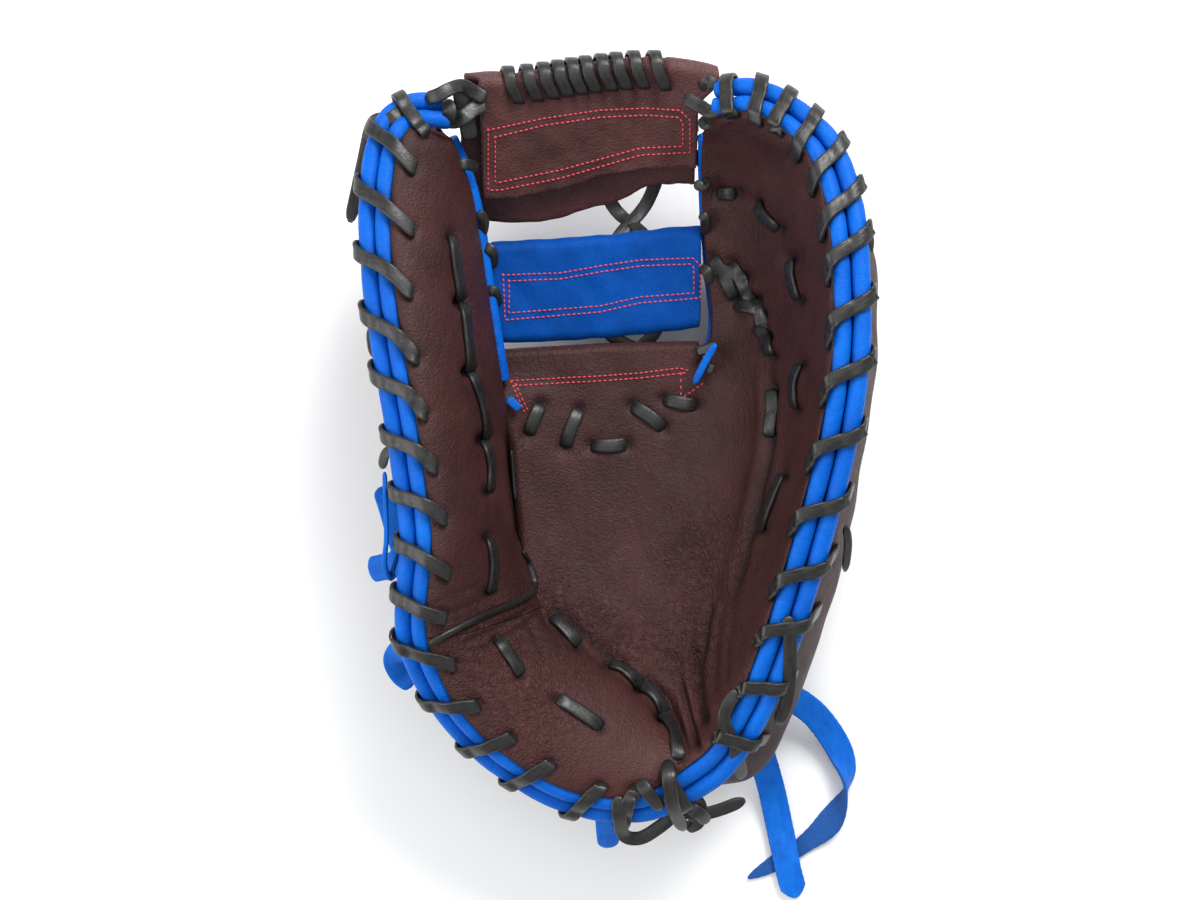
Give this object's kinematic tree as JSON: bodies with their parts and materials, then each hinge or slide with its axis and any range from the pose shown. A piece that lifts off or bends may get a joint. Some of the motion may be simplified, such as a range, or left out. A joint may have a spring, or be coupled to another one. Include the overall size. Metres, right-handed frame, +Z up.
{
  "type": "first baseman mitt",
  "caption": "Leather first baseman mitt for the left hand, lying on its back: long curved pocket, padded rim, barred web, laced edges and loose tie ends.",
  "frame": {"origin": "middle of the mitt's box, without the loose tie ends, on the surface that it lies on", "axes": "+Z up, out of the pocket; +Y from the heel to the web; +X from the thumb side to the finger side"},
  "size_m": [0.2164, 0.3663, 0.1252],
  "materials": {
    "brown": "soft satin dark brown leather",
    "blue": "smooth bright blue leather",
    "web_blue": "satin royal blue leather",
    "lace": "black rawhide lace with a soft sheen"
  },
  "bodies": {
    "root": {"thumb_pad": "brown", "palm": "brown", "thumb_back": "brown", "finger_back": "brown", "wrist_strap": "brown", "palm_binding": "blue", "back_binding": "blue", "thumb_inner_binding": "blue", "finger_inner_binding": "blue", "web_top_bar": "brown", "web_middle_bar": "web_blue", "web_lace_top": "lace", "web_lace_middle": "lace", "web_cross_lace_left": "lace", "web_cross_lace_right": "lace", "top_wrap_01": "lace", "top_wrap_02": "lace", "top_wrap_03": "lace", "top_wrap_04": "lace", "top_wrap_05": "lace", "top_wrap_06": "lace", "top_wrap_07": "lace", "top_wrap_08": "lace", "top_wrap_09": "lace", "top_wrap_10": "lace", "rim_lace_01": "lace", "rim_lace_02": "lace", "rim_lace_03": "lace", "rim_lace_04": "lace", "rim_lace_05": "lace", "rim_lace_06": "lace", "rim_lace_07": "lace", "rim_lace_08": "lace", "rim_lace_09": "lace", "rim_lace_10": "lace", "rim_lace_11": "lace", "rim_lace_12": "lace", "rim_lace_13": "lace", "rim_lace_14": "lace", "rim_lace_15": "lace", "rim_lace_16": "lace", "rim_lace_17": "lace", "rim_lace_18": "lace", "rim_lace_19": "lace", "rim_lace_20": "lace", "rim_lace_21": "lace", "rim_lace_22": "lace", "rim_lace_23": "lace", "rim_lace_24": "lace", "rim_lace_25": "lace", "rim_lace_26": "lace", "rim_lace_27": "lace", "rim_lace_28": "lace", "rim_lace_29": "lace", "rim_lace_30": "lace", "rim_lace_31": "lace", "rim_lace_32": "lace", "tie_knot": "blue", "tie_end_outer": "blue", "tie_end_inner": "blue"}
  },
  "joints": []
}
